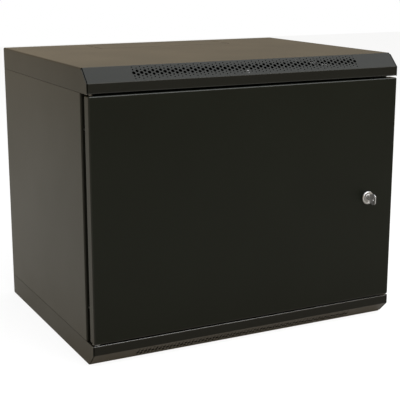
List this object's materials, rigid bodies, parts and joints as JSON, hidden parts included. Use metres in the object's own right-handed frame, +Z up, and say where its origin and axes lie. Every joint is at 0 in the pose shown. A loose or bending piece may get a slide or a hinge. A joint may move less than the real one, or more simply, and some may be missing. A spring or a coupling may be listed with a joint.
{
  "type": "wall mount network cabinet",
  "caption": "Wall mount rack cabinet: chamfered, perforated covers, side panels, a hinged steel door with cam lock and key, and four sliding mounting rails.",
  "frame": {"origin": "centre of the four wall fixing slots, on the plane that meets the wall", "axes": "+Y points out of the back towards the wall, +X to the right seen from the door, +Z up"},
  "size_m": [0.6, 0.4795, 0.498],
  "materials": {
    "cover_paint": "satin powder coat",
    "panel_paint": "satin powder coat",
    "door_paint": "satin powder coat",
    "frame_paint": "satin powder coat",
    "rail_paint": "satin powder coat",
    "zinc_plate": "zinc plated",
    "pin_steel": "bright steel",
    "lock_chrome": "polished chrome",
    "key_nickel": "nickel plated",
    "buffer_rubber": "matte",
    "washer_nylon": "matte"
  },
  "bodies": {
    "cabinet": {"top_cover": "cover_paint", "bottom_cover": "cover_paint", "left_side_panel": "panel_paint", "right_side_panel": "panel_paint", "back_panel": "panel_paint", "front_left_post": "frame_paint", "front_right_post": "frame_paint", "rear_left_post": "frame_paint", "rear_right_post": "frame_paint", "upper_left_brace": "frame_paint", "upper_right_brace": "frame_paint", "lower_left_brace": "frame_paint", "lower_right_brace": "frame_paint", "side_panel_screws": "zinc_plate", "lock_strike": "frame_paint", "door_buffers": "buffer_rubber", "earth_stud": "zinc_plate", "earth_nut": "zinc_plate"},
    "door": {"front_door": "door_paint", "door_stiffener": "door_paint", "upper_hinge_bracket": "zinc_plate", "lower_hinge_bracket": "zinc_plate", "hinge_pin_spring": "pin_steel", "lower_hinge_pin": "pin_steel", "hinge_washer": "washer_nylon", "lock_body": "lock_chrome", "lock_nut": "zinc_plate", "door_earth_stud": "zinc_plate", "door_earth_nut": "zinc_plate"},
    "upper_pin": {"upper_hinge_pin": "pin_steel"},
    "lock": {"lock_plug": "lock_chrome", "lock_cam": "lock_chrome", "cam_screw": "zinc_plate"},
    "key": {"lock_key": "key_nickel"},
    "front_left_rail": {"front_left_rail": "rail_paint", "front_left_rail_bolts": "zinc_plate"},
    "front_right_rail": {"front_right_rail": "rail_paint", "front_right_rail_bolts": "zinc_plate"},
    "rear_left_rail": {"rear_left_rail": "rail_paint", "rear_left_rail_bolts": "zinc_plate"},
    "rear_right_rail": {"rear_right_rail": "rail_paint", "rear_right_rail_bolts": "zinc_plate"}
  },
  "joints": [
    {"name": "door_hinge", "type": "hinge", "parent": "cabinet", "child": "door", "pos_m": [-0.29, -0.443, 0], "axis": [0, 0, -1], "range_deg": [0, 180]},
    {"name": "upper_pin_slide", "type": "slide", "parent": "door", "child": "upper_pin", "axis": [0, 0, -1], "range_m": [0, 0.008], "stiffness_N_per_m": 250, "springref_m": -0.008, "deforming": ["hinge_pin_spring"]},
    {"name": "lock_turn", "type": "hinge", "parent": "door", "child": "lock", "pos_m": [0.2428, -0.455, -0.0121], "axis": [0, -1, 0], "range_deg": [0, 90]},
    {"name": "key_slide", "type": "slide", "parent": "lock", "child": "key", "axis": [0, -1, 0], "range_m": [0, 0.03]},
    {"name": "front_left_rail_slide", "type": "slide", "parent": "cabinet", "child": "front_left_rail", "axis": [0, 1, 0], "range_m": [0, 0.12]},
    {"name": "rear_left_rail_slide", "type": "slide", "parent": "cabinet", "child": "rear_left_rail", "axis": [0, -1, 0], "range_m": [0, 0.12]},
    {"name": "front_right_rail_slide", "type": "slide", "parent": "cabinet", "child": "front_right_rail", "axis": [0, 1, 0], "range_m": [0, 0.12]},
    {"name": "rear_right_rail_slide", "type": "slide", "parent": "cabinet", "child": "rear_right_rail", "axis": [0, -1, 0], "range_m": [0, 0.12]}
  ]
}
